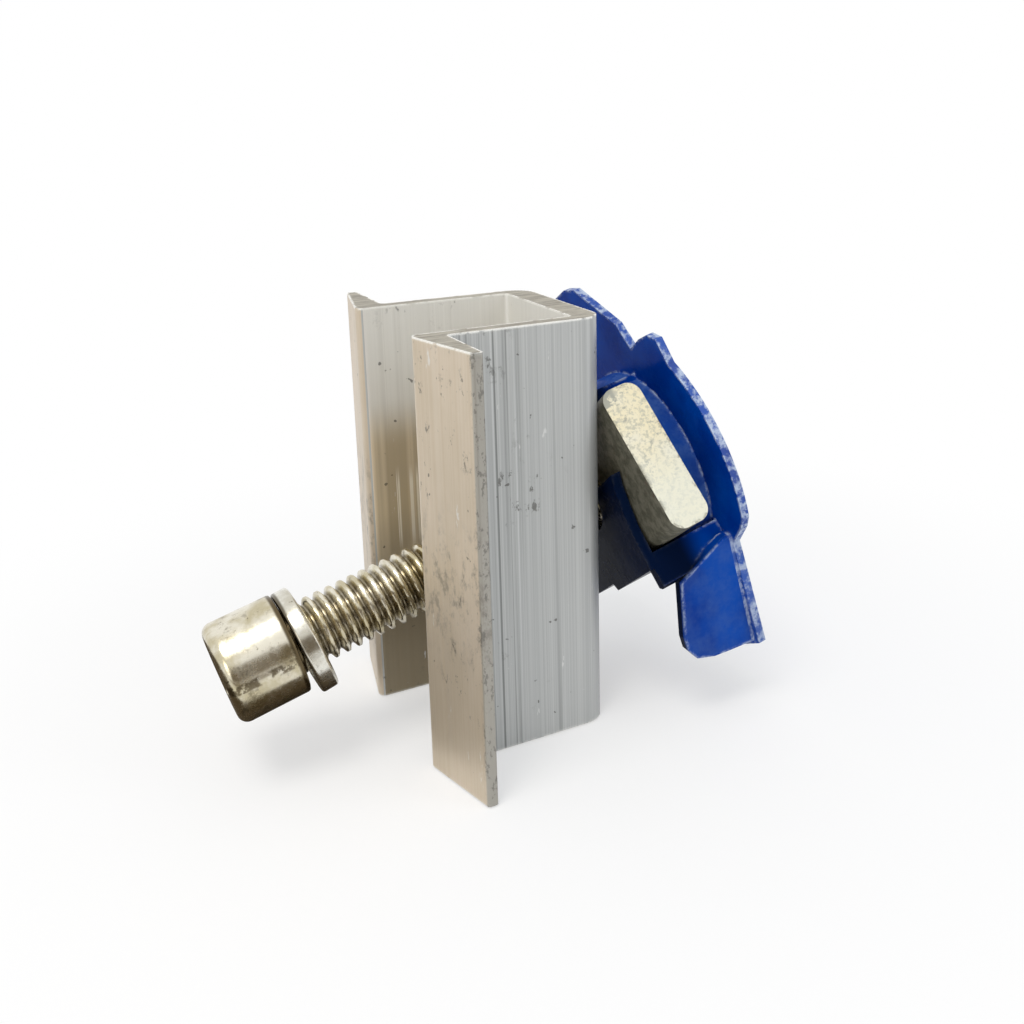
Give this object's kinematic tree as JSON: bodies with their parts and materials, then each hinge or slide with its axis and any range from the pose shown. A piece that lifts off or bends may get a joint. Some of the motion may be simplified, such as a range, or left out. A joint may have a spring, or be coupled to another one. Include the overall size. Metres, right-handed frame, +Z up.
{
  "type": "solar panel mid clamp",
  "caption": "Extruded channel mid clamp with flared edges, a tilted socket head screw with split lock washer, and a rhomboid rail nut held in a moulded retainer.",
  "frame": {"origin": "middle of the web's cut end face, the end the clamp stands on", "axes": "+Z up along the extrusion; +X from the flanges to the web and on to the rail nut; +Y across the clamp, its mirror plane is y = 0"},
  "size_m": [0.0646, 0.0403, 0.0508],
  "materials": {
    "mill_aluminium": "mill finish, fine die lines",
    "bright_steel": "bright passivated, semi-gloss",
    "washer_steel": "bright, semi-gloss",
    "zinc_plate": "sandy zinc plate, matt",
    "blue_plastic": "glossy moulded, worn pale rims"
  },
  "bodies": {
    "channel": {"clamp_channel": "mill_aluminium"},
    "nut_carrier": {"rail_nut": "zinc_plate", "nut_retainer": "blue_plastic"},
    "washer": {"lock_washer": "washer_steel"},
    "screw": {"socket_screw": "bright_steel"}
  },
  "joints": [
    {"name": "screw_slide", "type": "slide", "parent": "channel", "child": "nut_carrier", "axis": [0.9664, 0, 0.2571], "range_m": [0, 0.014]},
    {"name": "screw_travel", "type": "slide", "parent": "nut_carrier", "child": "washer", "axis": [0.9664, 0, 0.2571], "range_m": [-0.007, 0.014]},
    {"name": "screw_turn", "type": "hinge", "parent": "washer", "child": "screw", "pos_m": [0.0017, 0, 0.02445], "axis": [0.9664, 0, 0.2571], "range_deg": [-1790, 3575]}
  ],
  "couplings": [
    {"joint": "screw_turn", "follows": "screw_travel", "rad_per_m": 4452.7}
  ]
}
